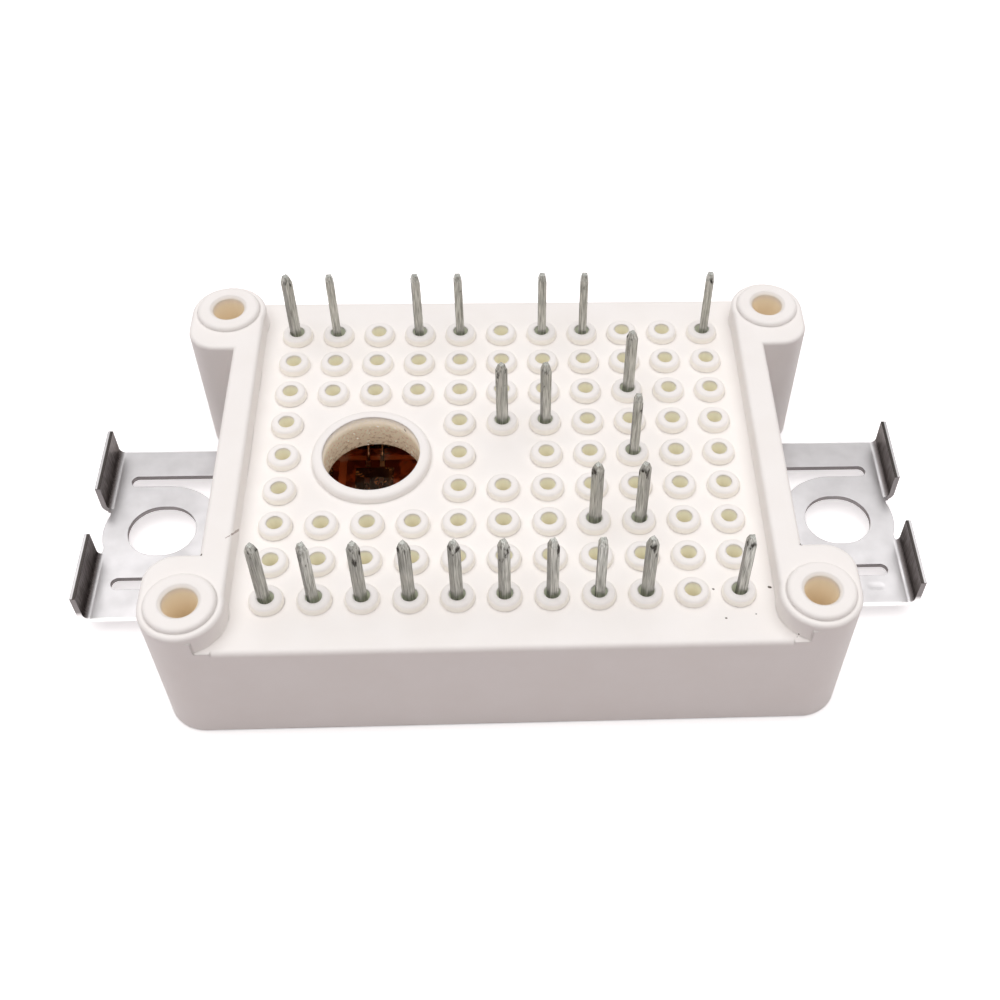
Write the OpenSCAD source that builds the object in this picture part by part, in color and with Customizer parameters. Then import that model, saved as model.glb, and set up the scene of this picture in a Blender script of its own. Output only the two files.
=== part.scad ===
// Small IGBT power module: a moulded housing with four board posts, two steel
// mounting clamps and 23 solder pins, over a copper-ceramic substrate that
// carries a rectifier, a brake chopper and a three-phase inverter.
// The base lies on z = 0, the clamps point along X and the pins along +Z.

/* [Pin grid] */
// Distance between neighbouring pin places, both ways
pin_spacing = 3.2; // [3.1:0.01:3.3]
// Distance from the outer pin places to the inner face of the walls
pin_margin = 1.4; // [1.3:0.05:1.7]
// Outer diameter of a collar
collar_d = 2.35; // [2:0.05:2.5]
// Height of a collar above the top face
collar_height = 0.6; // [0.4:0.05:0.8]
// Edge radius of a collar
collar_edge = 0.3; // [0.1:0.05:0.4]
// Diameter of the hole in a collar
collar_hole_d = 1.15; // [1:0.05:1.4]

/* [Housing] */
// Thickness of the front and back walls
front_wall = 2.7; // [2.4:0.1:3]
// Thickness of the two recessed side walls
side_wall = 3.1; // [2.6:0.1:3.4]
// Height of the top face, where the pin collars stand
deck_top = 9.9; // [9:0.1:11]
// Thickness of the top wall
deck_thickness = 1.8; // [1.4:0.1:2.4]
// Height of the two side rails and of the ears above the top face
rail_height = 1.75; // [1:0.05:2.4]
// Width of each side rail
rail_width = 2; // [1.6:0.1:2.2]
// Edge radius along the top of the rails and ears
rail_edge = 0.3; // [0.1:0.05:0.4]
// Depth of each ear, front to back
ear_depth = 7; // [6.4:0.1:7.6]
// Corner radius on the clamp side of each ear
ear_corner_r = 2.2; // [1:0.1:2.6]
// Gap between the lower edge of the walls and the heat sink
foot_gap = 0.2; // [0.1:0.05:0.25]
// Edge radius along the front and back of the top face
deck_edge = 0.4; // [0.1:0.1:0.6]

/* [Board posts] */
// Radius of the boss round each post, out to the front wall and the ear's end
boss_r = 2.85; // [2.7:0.05:3.1]
// How far the posts' centres stand outside the side walls
post_offset = 0.75; // [0.5:0.05:1]
// Height of a post's face above the rails, where the circuit board rests
post_height = 0.35; // [0.3:0.05:0.8]
// Outer diameter of the raised ring on each post
post_ring_d = 4.8; // [4.4:0.1:5.2]
// Edge radius of the raised ring
post_ring_edge = 0.3; // [0.1:0.05:0.3]
// Diameter of the screw hole
post_hole_d = 2.4; // [2.1:0.1:2.6]
// Diameter of the hole's mouth
post_mouth_d = 2.8; // [2.7:0.1:3.2]
// Depth of the screw hole
post_hole_depth = 8.5; // [6:0.5:10]

/* [Filling port] */
// Diameter of the round port
port_d = 7.1; // [6.4:0.1:7.8]
// Outer diameter of the ring round the port
port_ring_d = 8.7; // [8.3:0.1:9.6]
// Edge radius of the ring
port_ring_edge = 0.35; // [0.1:0.05:0.5]
// How far the port's tube hangs below the top wall
port_skirt = 0.6; // [0.2:0.1:1.2]

/* [Pins] */
// Side of the square pin wire
pin_side = 0.62; // [0.6:0.01:0.64]
// How much more than the collars' own spacing lies between pins along the module
pin_drift = 0.025; // [0:0.005:0.025]
// How far the pins stand out of the top face
pin_reach = 6.3; // [5:0.1:7.5]
// Length of the tapered tip
pin_taper = 0.55; // [0.3:0.05:1.2]
// Side of the blunt end of the tip
pin_end = 0.36; // [0.1:0.02:0.5]

/* [Clamps] */
// Distance from the screw's centre to the outer face of the tabs
screw_to_end = 4.9; // [4.6:0.1:5.4]
// Gap between the tongue's round end and the side wall
tongue_gap = 1.5; // [1:0.1:2]
// Thickness of the clamp sheet
sheet = 0.4; // [0.3:0.05:0.5]
// Height of the clamp's underside
clamp_height = 1.4; // [1.2:0.1:2]
// Depth of a clamp, front to back
clamp_depth = 16.4; // [16:0.1:17]
// Width of the screw hole
screw_hole_width = 4.8; // [4.5:0.1:5]
// Length of the screw hole along the module
screw_hole_length = 5.2; // [5:0.1:5.6]
// Width of the middle tongue and of its round end
tongue_width = 9; // [8.6:0.1:9.4]
// Width of the slot on either side of the tongue
slot_width = 1.05; // [0.8:0.05:1.2]
// Distance from the end of a slot to the end of the clamp
slot_margin = 1.8; // [1.6:0.1:2.2]
// Height of the upturned tabs over the clamp's underside
tab_height = 2.9; // [2.2:0.1:3.6]
// Inside radius of the bend under a tab
bend_r = 0.45; // [0.3:0.05:0.6]
// Width of the notch between the two tabs
notch_width = 4.4; // [3.6:0.1:5]
// Corner radius of the notch
notch_r = 0.35; // [0.2:0.05:0.4]
// How far the plate reaches past the bend line inside the notch
notch_lip = 0.15; // [0.05:0.05:0.2]
// How far an arm reaches into the side wall
anchor_depth = 1.7; // [1.2:0.1:2]
// Extra width of an arm's anchor, each side
anchor_lip = 0.35; // [0.2:0.05:0.45]

/* [Substrate] */
// How far the ceramic plate reaches under the walls
ceramic_overlap = 0.8; // [0.5:0.05:0.95]
// Thickness of the ceramic plate
ceramic_thickness = 0.38; // [0.32:0.02:0.64]
// Thickness of the copper on either face
foil = 0.3; // [0.25:0.05:0.4]
// Bare border of the ceramic round the lower copper
foil_border = 0.8; // [0.6:0.1:1.2]
// Play round the plate in the housing's rebate
rebate_play = 0.1; // [0.05:0.05:0.2]
// Gap between neighbouring copper tracks
track_gap = 0.64; // [0.5:0.02:0.8]

/* [Chips and wires] */
// Side of a transistor chip
igbt_side = 3.4; // [3:0.1:3.4]
// Side of a freewheel diode chip
freewheel_side = 2.4; // [2:0.1:2.6]
// Side of a rectifier diode chip
rectifier_side = 3; // [2.6:0.1:3.2]
// Thickness of a chip with its solder
chip_thickness = 0.2; // [0.15:0.01:0.3]
// Diameter of the bond wires
wire_d = 0.3; // [0.2:0.05:0.38]
// Distance between neighbouring bond wires
wire_spacing = 1.1; // [0.9:0.1:1.2]
// Length of a wire's flat foot
wire_foot = 0.7; // [0.5:0.1:0.8]

/* [Pin sleeves] */
// Outer diameter of a sleeve
sleeve_d = 1.5; // [1.3:0.1:1.6]
// Diameter of a sleeve's two flanges
sleeve_flange_d = 2.1; // [1.8:0.1:2.2]
// Thickness of a flange
sleeve_flange = 0.3; // [0.2:0.05:0.4]
// Height of a sleeve
sleeve_height = 3.2; // [2.6:0.1:3.8]
// Play of the pin's corners in the sleeve
sleeve_play = 0.01; // [0.01:0.01:0.03]

/* [Thermistor] */
// Length of the temperature sensor
sensor_length = 2; // [1.8:0.1:2.2]
// Width of the temperature sensor
sensor_width = 1.2; // [1:0.1:1.4]
// Height of the temperature sensor
sensor_height = 0.8; // [0.6:0.1:1]

/* [Gel] */
// Distance from the gel's surface up to the top wall
gel_space = 2.5; // [1.5:0.1:3]

/* [Hidden] */
$fn = 48;
COLUMNS = 11;
ROWS = 9;
// Columns and rows that the filling port takes up, and its centre
PORT_COLUMN = 2;
PORT_ROW = 4;
// The pins' columns, one list for each row from the back to the front
PIN_COLUMNS = [
    [0, 1, 3, 4, 6, 7, 10], [], [8], [5, 6], [8], [], [7, 8], [],
    [0, 1, 2, 3, 4, 5, 6, 7, 8, 10]
];
// Every pin as [column, row], in reading order
PINS = [for (r = [0:ROWS - 1]) for (c = PIN_COLUMNS[r]) [c, r]];
// Turn of each pin in its round sleeve, as pressed in
PIN_TURNS = [
    39, 10, 12, 4, 1, 86, 80, 27, 45, 19, 0, 39, 54,
    55, 32, 51, 47, 38, 27, 22, 2, 32, 1
];

// Where a post's boss runs into the front wall, the sharp gap is filled this far
WEB = 0.9;

// Places of the chips, in columns and rows of the pin grid.
// Chips of one inverter leg stand side by side; a leg is two steps long.
FIRST_CHIP = 0.33;
CHIP_STEP = 1.105;
LEGS = [0, 1, 2];
// Columns of the three rectifier legs
INPUTS = [0.3, 1.8, 3.75];
// Columns of the brake chopper's transistor and diode
BRAKE_SWITCH = 5.3;
BRAKE_DIODE = 6.8;
// Rows of the chips and of the wire feet beyond them
PLUS_ROW = 1.25;
INPUT_ROW = 2.85;
INPUT_FOOT_ROW = 2.24;
MINUS_FOOT_ROW = 3.85;
HIGH_ROW = 5.25;
LOW_ROW = 6.85;
PHASE_FOOT_ROW = 6.21;
BRAKE_ROW = 1.5;

cavity_length = (COLUMNS - 1) * pin_spacing + 2 * pin_margin;
cavity_depth = (ROWS - 1) * pin_spacing + 2 * pin_margin;
waist_length = cavity_length + 2 * side_wall;
housing_depth = cavity_depth + 2 * front_wall;

front_y = housing_depth / 2;
rail_outer_x = waist_length / 2;
rail_inner_x = rail_outer_x - rail_width;
rail_middle_x = rail_outer_x - rail_width / 2;
post_x = rail_outer_x + post_offset;
post_y = front_y - boss_r;
ear_x = post_x + boss_r;
ear_inner_y = front_y - ear_depth;

deck_bottom = deck_top - deck_thickness;
collar_top = deck_top + collar_height;
rail_top = deck_top + rail_height;
post_top = rail_top + post_height;
pin_top = deck_top + pin_reach;

ceramic_length = cavity_length + 2 * ceramic_overlap;
ceramic_depth = cavity_depth + 2 * ceramic_overlap;
ceramic_z = foil;
track_z = ceramic_z + ceramic_thickness;
chip_z = track_z + foil;
gel_top = deck_bottom - gel_space;

screw_x = rail_outer_x + tongue_gap + tongue_width / 2;
end_x = screw_x + screw_to_end;
bend_x = end_x - sheet - bend_r;
slot_end_x = end_x - slot_margin;
slot_y = (tongue_width + slot_width) / 2;
arm_inner_y = tongue_width / 2 + slot_width;
arm_end_x = rail_outer_x - anchor_depth;
tab_top = clamp_height + tab_height;

pin_corner_r = pin_side / sqrt(2);
sleeve_top = chip_z + sleeve_height;

// Columns and rows as places on the substrate
function place_x(column) = (column - (COLUMNS - 1) / 2) * pin_spacing;
function place_y(row) = ((ROWS - 1) / 2 - row) * pin_spacing;
function near_port(column, row) =
    abs(column - PORT_COLUMN) < 2 && abs(row - PORT_ROW) < 2;
// The middle of the grid has no collar
function has_collar(column, row) =
    !near_port(column, row) && !(column == 5 && row == 4);

module at_place(place) {
    translate([place_x(place[0]), place_y(place[1]), 0])
        children();
}

// A pin and its sleeve stand a little further out than their collar
module at_pin(place) {
    drift = (place[0] - (COLUMNS - 1) / 2) * pin_drift;
    translate([place_x(place[0]) + drift, place_y(place[1]), 0])
        children();
}

// ---- housing ----

// A rectangle whose far upper corner is rounded
module soft_profile(width, height, edge) {
    square([width - edge, height]);
    square([width, height - edge]);
    intersection() {
        translate([width - edge, height - edge])
            circle(r = edge, $fn = 24);
        square([width, height]);
    }
}

// A turned pad with a rounded upper edge, standing on z = 0
module soft_disc(diameter, height, edge) {
    rotate_extrude()
        soft_profile(diameter / 2, height, edge);
}

module mirrored(sx, sy) {
    mirror([sx < 0 ? 1 : 0, 0, 0])
        mirror([0, sy < 0 ? 1 : 0, 0])
            children();
}

// One ear and the wall beside it, its two outer corners rounded
module ear_outline() {
    translate([rail_inner_x, ear_inner_y])
        square([ear_x - ear_corner_r - rail_inner_x, post_y - ear_inner_y]);
    translate([rail_inner_x, post_y])
        square([post_x - rail_inner_x, boss_r]);
    translate([rail_inner_x, ear_inner_y + ear_corner_r])
        square([ear_x - rail_inner_x, post_y - ear_inner_y - ear_corner_r]);
    translate([ear_x - ear_corner_r, ear_inner_y + ear_corner_r])
        circle(r = ear_corner_r);
    translate([post_x, post_y])
        circle(r = boss_r);
}

module body_outline() {
    square([waist_length, housing_depth], center = true);
    for (sx = [-1, 1], sy = [-1, 1])
        mirrored(sx, sy)
            ear_outline();
}

// One rail between a front and a back post, both its upper edges rounded
module rail(height) {
    translate([rail_middle_x, 0, 0])
        rotate([90, 0, 0])
            linear_extrude(2 * post_y, center = true)
                for (side = [0, 1])
                    mirror([side, 0])
                        soft_profile(rail_width / 2, height, rail_edge);
}

// The raised part of one ear, with the boss of its post
module ear_top(height) {
    corner_x = ear_x - ear_corner_r;
    corner_y = ear_inner_y + ear_corner_r;
    translate([rail_middle_x, post_y, 0]) {
        rotate([90, 0, 0])
            linear_extrude(post_y - corner_y)
                soft_profile(ear_x - rail_middle_x, height, rail_edge);
        mirror([0, 1, 0])
            rotate([90, 0, 90])
                linear_extrude(corner_x - rail_middle_x)
                    soft_profile(post_y - ear_inner_y, height, rail_edge);
    }
    translate([corner_x, corner_y, 0])
        soft_disc(2 * ear_corner_r, height, rail_edge);
    translate([post_x, post_y, 0])
        soft_disc(2 * boss_r, height, rail_edge);
    translate([post_x - WEB, post_y, 0])
        cube([WEB, boss_r, height - 2 * rail_edge]);
}

// Rails and ears, reaching down into the body
module raised_sides() {
    depth = 1;
    translate([0, 0, deck_top - depth]) {
        for (sx = [-1, 1])
            mirrored(sx, 1)
                rail(rail_height + depth);
        for (sx = [-1, 1], sy = [-1, 1])
            mirrored(sx, sy)
                ear_top(rail_height + depth);
    }
}

// What is cut away to round the deck's front edge, which stops short of the bosses
module deck_edge_waste() {
    half_length = post_x - boss_r + WEB;
    translate([-half_length, -front_y + deck_edge, deck_top - deck_edge])
        rotate([0, 90, 0])
            linear_extrude(2 * half_length)
                difference() {
                    translate([-deck_edge - 1, -deck_edge - 1])
                        square(deck_edge + 1);
                    circle(r = deck_edge);
                }
}

module deck_features() {
    for (column = [0:COLUMNS - 1], row = [0:ROWS - 1])
        if (has_collar(column, row))
            at_place([column, row])
                translate([0, 0, deck_top])
                    soft_disc(collar_d, collar_height, collar_edge);
    at_place([PORT_COLUMN, PORT_ROW]) {
        translate([0, 0, deck_top])
            soft_disc(port_ring_d, collar_height, port_ring_edge);
        translate([0, 0, deck_bottom - port_skirt])
            cylinder(d = port_ring_d, h = port_skirt + deck_thickness);
    }
}

module deck_holes() {
    for (column = [0:COLUMNS - 1], row = [0:ROWS - 1])
        if (has_collar(column, row))
            at_place([column, row])
                translate([0, 0, deck_bottom - 1])
                    cylinder(d = collar_hole_d, h = collar_top - deck_bottom + 2);
    at_place([PORT_COLUMN, PORT_ROW])
        translate([0, 0, deck_bottom - port_skirt - 1])
            cylinder(d = port_d, h = collar_top - deck_bottom + port_skirt + 2);
}

module post_rings() {
    for (sx = [-1, 1], sy = [-1, 1])
        translate([sx * post_x, sy * post_y, rail_top])
            soft_disc(post_ring_d, post_top - rail_top, post_ring_edge);
}

// A blind screw hole with a short conical mouth
module post_holes() {
    mouth = (post_mouth_d - post_hole_d) / 2;
    for (sx = [-1, 1], sy = [-1, 1])
        translate([sx * post_x, sy * post_y, 0]) {
            translate([0, 0, post_top - post_hole_depth])
                cylinder(d = post_hole_d, h = post_hole_depth + 1);
            translate([0, 0, post_top - mouth])
                cylinder(d1 = post_hole_d, d2 = post_mouth_d + 2 * mouth, h = 2 * mouth);
        }
}

module cavity() {
    translate([0, 0, deck_bottom / 2])
        cube([cavity_length, cavity_depth, deck_bottom], center = true);
    translate([0, 0, track_z / 2])
        cube([ceramic_length + 2 * rebate_play, ceramic_depth + 2 * rebate_play, track_z],
             center = true);
}

module body() {
    difference() {
        translate([0, 0, foot_gap])
            linear_extrude(deck_top - foot_gap)
                body_outline();
        for (turn = [0, 180])
            rotate(turn)
                deck_edge_waste();
    }
}

module housing() {
    color("ivory")
        difference() {
            union() {
                difference() {
                    union() {
                        body();
                        raised_sides();
                    }
                    cavity();
                }
                deck_features();
                post_rings();
            }
            deck_holes();
            post_holes();
            translate([0, 0, clamp_height])
                linear_extrude(sheet)
                    for (turn = [0, 180])
                        rotate(turn)
                            arms_outline(rail_outer_x + 1);
        }
}

// ---- clamps ----

// The two arms of one clamp, from their wider ends inside the wall to a given x
module arms_outline(to_x) {
    arm_width = clamp_depth / 2 - arm_inner_y;
    for (sy = [-1, 1])
        mirrored(1, sy)
            translate([arm_end_x, arm_inner_y]) {
                square([to_x - arm_end_x, arm_width]);
                translate([0, -anchor_lip])
                    square([anchor_depth / 2, arm_width + 2 * anchor_lip]);
            }
}

module rounded_slot(length, width) {
    for (sx = [-1, 1])
        translate([sx * (length - width) / 2, 0])
            circle(d = width);
    square([length - width, width], center = true);
}

// The flat part of a clamp, up to the start of the bend
module clamp_outline() {
    difference() {
        union() {
            arms_outline(bend_x);
            translate([screw_x, -tongue_width / 2])
                square([bend_x - screw_x, tongue_width]);
            translate([screw_x, 0])
                circle(d = tongue_width);
            translate([slot_end_x - slot_width / 2, -clamp_depth / 2])
                square([bend_x - slot_end_x + slot_width / 2, clamp_depth]);
        }
        for (sy = [-1, 1])
            translate([slot_end_x - slot_width / 2, sy * slot_y])
                circle(d = slot_width);
        translate([screw_x, 0])
            rounded_slot(screw_hole_length, screw_hole_width);
    }
    notch_edge();
}

// The plate's edge between the tabs, with a radius running out to each tab
module notch_edge() {
    edge_x = bend_x + notch_lip;
    translate([bend_x, -notch_width / 2])
        square([notch_lip, notch_width]);
    for (sy = [-1, 1])
        mirrored(1, sy)
            difference() {
                translate([edge_x, notch_width / 2 - notch_r])
                    square(notch_r);
                translate([edge_x + notch_r, notch_width / 2 - notch_r])
                    circle(r = notch_r);
            }
}

// One tab: a quarter bend and an upright strip
module tab(from_y, to_y) {
    width = to_y - from_y;
    translate([bend_x, to_y, clamp_height + sheet + bend_r])
        rotate([90, 0, 0])
            rotate_extrude(angle = -90)
                translate([bend_r, 0])
                    square([sheet, width]);
    translate([end_x - sheet, from_y, clamp_height + sheet + bend_r])
        cube([sheet, width, tab_top - clamp_height - sheet - bend_r]);
}

module clamp() {
    color("silver") {
        translate([0, 0, clamp_height])
            linear_extrude(sheet)
                clamp_outline();
        tab(notch_width / 2, clamp_depth / 2);
        tab(-clamp_depth / 2, -notch_width / 2);
    }
}

module clamp_right() {
    clamp();
}

module clamp_left() {
    rotate(180)
        clamp();
}

// ---- pins ----

// One side view of a pin, cut through the wire's width
module pin_profile() {
    side = pin_side / 2;
    end = pin_end / 2;
    shoulder = pin_top - pin_taper;
    rotate([90, 0, 0])
        linear_extrude(pin_side + 1, center = true)
            polygon([
                [-side, chip_z], [side, chip_z], [side, shoulder],
                [end, pin_top], [-end, pin_top], [-side, shoulder]
            ]);
}

module pin(index) {
    color("gray")
        at_pin(PINS[index])
            rotate(PIN_TURNS[index])
                intersection() {
                    pin_profile();
                    rotate(90)
                        pin_profile();
                }
}

module sleeve_body() {
    translate([0, 0, chip_z])
        cylinder(d = sleeve_d, h = sleeve_height);
    for (z = [chip_z, sleeve_top - sleeve_flange])
        translate([0, 0, z])
            cylinder(d = sleeve_flange_d, h = sleeve_flange);
}

module pin_sleeves() {
    color("lightgray")
        for (place = PINS)
            at_pin(place)
                difference() {
                    sleeve_body();
                    translate([0, 0, chip_z - 1])
                        cylinder(r = pin_corner_r + sleeve_play, h = sleeve_height + 2);
                }
}

// ---- substrate ----

module ceramic_plate() {
    color("white")
        translate([0, 0, ceramic_z + ceramic_thickness / 2])
            cube([ceramic_length, ceramic_depth, ceramic_thickness], center = true);
}

module lower_copper() {
    color("peru")
        translate([0, 0, foil / 2])
            cube([ceramic_length - 2 * foil_border, ceramic_depth - 2 * foil_border, foil],
                 center = true);
}

// A rectangle of copper over the cells from one column and row to another
module track(from, to) {
    half_cell = (pin_spacing - track_gap) / 2;
    x0 = place_x(from[0]) - half_cell;
    y0 = place_y(to[1]) - half_cell;
    translate([x0, y0, track_z])
        cube([
            place_x(to[0]) + half_cell - x0,
            place_y(from[1]) + half_cell - y0,
            foil
        ]);
}

function leg_switch(leg) = FIRST_CHIP + 2 * leg * CHIP_STEP;
function leg_diode(leg) = leg_switch(leg) + CHIP_STEP;

module upper_copper() {
    color("peru")
        union() {
            // rectifier: two inputs' lands, plus rail and the three legs
            track([0, 0], [0, 0]);
            track([1, 0], [2, 0]);
            track([0, 1], [4, 1.5]);
            track([3, 0], [4, 1.5]);
            track([0, 2.5], [0.5, 3]);
            track([1.5, 2.5], [2.5, 3]);
            track([3.5, 2.5], [4, 3]);
            track([0, 4], [4, 4]);
            // brake chopper
            track([5, 1], [7, 2]);
            track([6, 0], [7, 2]);
            // thermistor and the minus rail
            track([10, 0], [10, 2]);
            track([8, 2], [9, 2]);
            track([8, 0], [9, 1]);
            track([8, 3], [10, 5]);
            // inverter: plus rail and the three legs
            track([5, 3], [7, 5]);
            track([0, 5], [6, 5.5]);
            track([0, 6.5], [leg_diode(0), 7]);
            track([leg_switch(1), 6.5], [leg_diode(1), 7]);
            track([leg_switch(2), 6.5], [10, 7]);
            track([7, 6], [8, 7]);
            // front row: lands shared by two pins, then single ones
            for (column = [0, 2, 4])
                track([column, 8], [column + 1, 8]);
            for (column = [6, 7, 8, 10])
                track([column, 8], [column, 8]);
        }
}

module chip(place, side) {
    at_place(place)
        translate([0, 0, chip_z + chip_thickness / 2])
            cube([side, side, chip_thickness], center = true);
}

module transistor_chips() {
    color("dimgray") {
        chip([BRAKE_SWITCH, BRAKE_ROW], igbt_side);
        for (leg = LEGS, row = [HIGH_ROW, LOW_ROW])
            chip([leg_switch(leg), row], igbt_side);
    }
}

module freewheel_chips() {
    color("slategray") {
        chip([BRAKE_DIODE, BRAKE_ROW], freewheel_side);
        for (leg = LEGS, row = [HIGH_ROW, LOW_ROW])
            chip([leg_diode(leg), row], freewheel_side);
    }
}

module rectifier_chips() {
    color("darkslategray")
        for (column = INPUTS, row = [PLUS_ROW, INPUT_ROW])
            chip([column, row], rectifier_side);
}

module thermistor() {
    color("black")
        at_place([9.5, 2])
            translate([0, 0, chip_z + sensor_height / 2])
                cube([sensor_length, sensor_width, sensor_height], center = true);
}

// A wire's squashed foot, standing on z = 0
module wire_foot_pad() {
    foot_height = 0.8 * wire_d;
    translate([0, 0, foot_height / 2])
        cube([wire_foot, 1.3 * wire_d, foot_height], center = true);
}

// One bond wire from a chip to a lower or an equal face: a foot, an arch, a foot
module bond_wire(run, drop) {
    half_arch = 50;
    span = run - wire_foot * 0.8;
    tilt = atan(drop / span);
    arch_r = span / cos(tilt) / 2 / sin(half_arch);
    wire_foot_pad();
    translate([run, 0, -drop])
        wire_foot_pad();
    translate([run / 2, 0, wire_d / 2 - drop / 2])
        rotate([0, tilt, 0])
            translate([0, 0, -arch_r * cos(half_arch)])
                rotate([90, 0, 0])
                    rotate(90 - half_arch)
                        rotate_extrude(angle = 2 * half_arch)
                            translate([arch_r, 0])
                                circle(d = wire_d, $fn = 24);
}

// Parallel wires from one place to another, spread across their run
module bond(from, to, count, drop) {
    dx = place_x(to[0]) - place_x(from[0]);
    dy = place_y(to[1]) - place_y(from[1]);
    at_place(from)
        translate([0, 0, chip_z + chip_thickness])
            rotate(atan2(dy, dx))
                for (i = [0:count - 1])
                    translate([0, (i - (count - 1) / 2) * wire_spacing, 0])
                        bond_wire(norm([dx, dy]), drop);
}

module bond_wires() {
    color("whitesmoke") {
        for (column = INPUTS) {
            bond([column, PLUS_ROW], [column, INPUT_FOOT_ROW], 2, chip_thickness);
            bond([column, INPUT_ROW], [column, MINUS_FOOT_ROW], 2, chip_thickness);
        }
        for (leg = LEGS) {
            switch = leg_switch(leg);
            diode = leg_diode(leg);
            bond([switch, HIGH_ROW], [switch, PHASE_FOOT_ROW], 3, chip_thickness);
            bond([diode, HIGH_ROW], [diode, PHASE_FOOT_ROW], 2, chip_thickness);
            bond([switch, LOW_ROW - 0.15], [diode, LOW_ROW - 0.15], 1, 0);
            bond([2 * leg + 0.5, LOW_ROW + 0.2], [2 * leg + 0.5, 8], 1, chip_thickness);
        }
        bond([BRAKE_SWITCH, BRAKE_ROW], [BRAKE_DIODE, BRAKE_ROW], 2, 0);
    }
}

// ---- gel ----

module gel() {
    color("orange")
        difference() {
            translate([0, 0, (track_z + gel_top) / 2])
                cube([cavity_length, cavity_depth, gel_top - track_z], center = true);
            upper_copper();
            transistor_chips();
            freewheel_chips();
            rectifier_chips();
            thermistor();
            bond_wires();
            for (place = PINS)
                at_pin(place)
                    sleeve_body();
            for (index = [0:len(PINS) - 1])
                pin(index);
        }
}

housing();
clamp_left();
clamp_right();
ceramic_plate();
lower_copper();
upper_copper();
transistor_chips();
freewheel_chips();
rectifier_chips();
thermistor();
bond_wires();
pin_sleeves();
gel();
pin(0);  // pin_01
pin(1);  // pin_02
pin(2);  // pin_03
pin(3);  // pin_04
pin(4);  // pin_05
pin(5);  // pin_06
pin(6);  // pin_07
pin(7);  // pin_08
pin(8);  // pin_09
pin(9);  // pin_10
pin(10);  // pin_11
pin(11);  // pin_12
pin(12);  // pin_13
pin(13);  // pin_14
pin(14);  // pin_15
pin(15);  // pin_16
pin(16);  // pin_17
pin(17);  // pin_18
pin(18);  // pin_19
pin(19);  // pin_20
pin(20);  // pin_21
pin(21);  // pin_22
pin(22);  // pin_23
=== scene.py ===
"""Looks of a small power module: moulded housing, spring clamps, solder pins and the
gel-covered substrate that shows through the filling port."""

import math

import bmesh
import bpy
from bpy.props import FloatProperty, FloatVectorProperty, PointerProperty
from mathutils import Euler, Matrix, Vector


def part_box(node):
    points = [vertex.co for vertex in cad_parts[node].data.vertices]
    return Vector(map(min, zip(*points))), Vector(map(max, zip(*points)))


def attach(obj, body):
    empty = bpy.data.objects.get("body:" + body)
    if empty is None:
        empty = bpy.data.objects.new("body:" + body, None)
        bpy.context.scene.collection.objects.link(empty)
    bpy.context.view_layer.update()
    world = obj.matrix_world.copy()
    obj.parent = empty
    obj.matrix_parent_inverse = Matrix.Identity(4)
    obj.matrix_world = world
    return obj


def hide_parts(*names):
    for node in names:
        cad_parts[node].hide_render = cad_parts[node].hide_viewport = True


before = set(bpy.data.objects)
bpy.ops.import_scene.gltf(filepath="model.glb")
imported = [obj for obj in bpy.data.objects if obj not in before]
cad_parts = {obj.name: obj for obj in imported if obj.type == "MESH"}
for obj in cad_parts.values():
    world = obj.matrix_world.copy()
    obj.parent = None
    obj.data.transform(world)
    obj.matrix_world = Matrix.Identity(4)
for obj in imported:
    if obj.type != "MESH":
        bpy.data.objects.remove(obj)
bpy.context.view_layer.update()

bl_info = {
    "name": "Power module looks",
    "version": (1, 0, 0),
    "blender": (4, 5, 0),
    "location": "3D View > Sidebar > Module",
    "description": "Finishes the housing, clamps, pins and substrate of a power module",
    "category": "Object",
}

MM = 0.001

PINS = sorted(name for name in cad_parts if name.startswith("pin_") and name[4:].isdigit())
PIN_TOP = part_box(PINS[0])[1].z
CLAMP_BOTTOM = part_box("clamp_right")[0].z
CLAMP_END, CLAMP_FRONT, TAB_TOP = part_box("clamp_right")[1]
GEL_LOW, GEL_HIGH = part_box("gel")

# The filling port: the ends of its axis in millimetres, its radius, its rim's height,
# and how far out from its wall the collars start
PORT_LOW, PORT_HIGH, PORT_RADIUS = (-9.6, 0, 5), (-9.6, 0, 12), 3.55 * MM
PORT_RIM, PORT_MARGIN = 10.3 * MM, 1.3 * MM
# The collars' holes lie on a square grid, which ends so many steps from the middle
GRID, GRID_END = 3.2 * MM, 5.5
COLLAR_HOLE, COLLAR_FOOT, COLLAR_TOP = 0.6 * MM, 9.9 * MM, 10.5 * MM
# The board posts' blind holes lie in the four corners
POST_X, POST_Y, POST_HOLE = 21.25 * MM, 14.05 * MM, 1.38 * MM
POST_FLOOR, POST_TOP = 3.5 * MM, 12.0 * MM
# How far down the painted glow reaches into the port and the posts' holes, and into the
# collars'
WIDE_SEEP, COLLAR_SEEP = 3.0 * MM, 1.6 * MM
# The width that the edges of these regions are blurred over
BLUR = 0.05 * MM
# Where the clamps' arms end, front and back; how thick their sheet is; and over what
# heights above their underside the painted shade on the bends comes in
ARM_END = CLAMP_FRONT - 0.4 * MM
SHEET, BEND_LOW, BEND_HIGH = 0.4 * MM, 0.28 * MM, 0.75 * MM

# The camera's place in millimetres, its turn in degrees, and its film
CAMERA_PLACE, CAMERA_TURN = (0.37, -65.3, 83.63), (37.815, -1.776, -2.638)
FILM_WIDTH, FILM_SHIFT = 36.0, (-0.0796, 0.0431)
# The top light's turn in degrees, and how far the floor reaches
LAMP_TURN = (-3, -2, 0)
FLOOR_REACH = 3.0
# How far the poured gel stands off the walls, how fine its surface's grid is, and how far
# a pin reaches out from its middle
GEL_GAP, GEL_STEP, PIN_REACH = 0.01 * MM, 0.3 * MM, 0.35 * MM


# ---- what a user may change ----

def colour(name, description, red, green, blue):
    return FloatVectorProperty(
        name=name, description=description, default=(red, green, blue),
        size=3, min=0.0, max=1.0, subtype="COLOR",
    )


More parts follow.
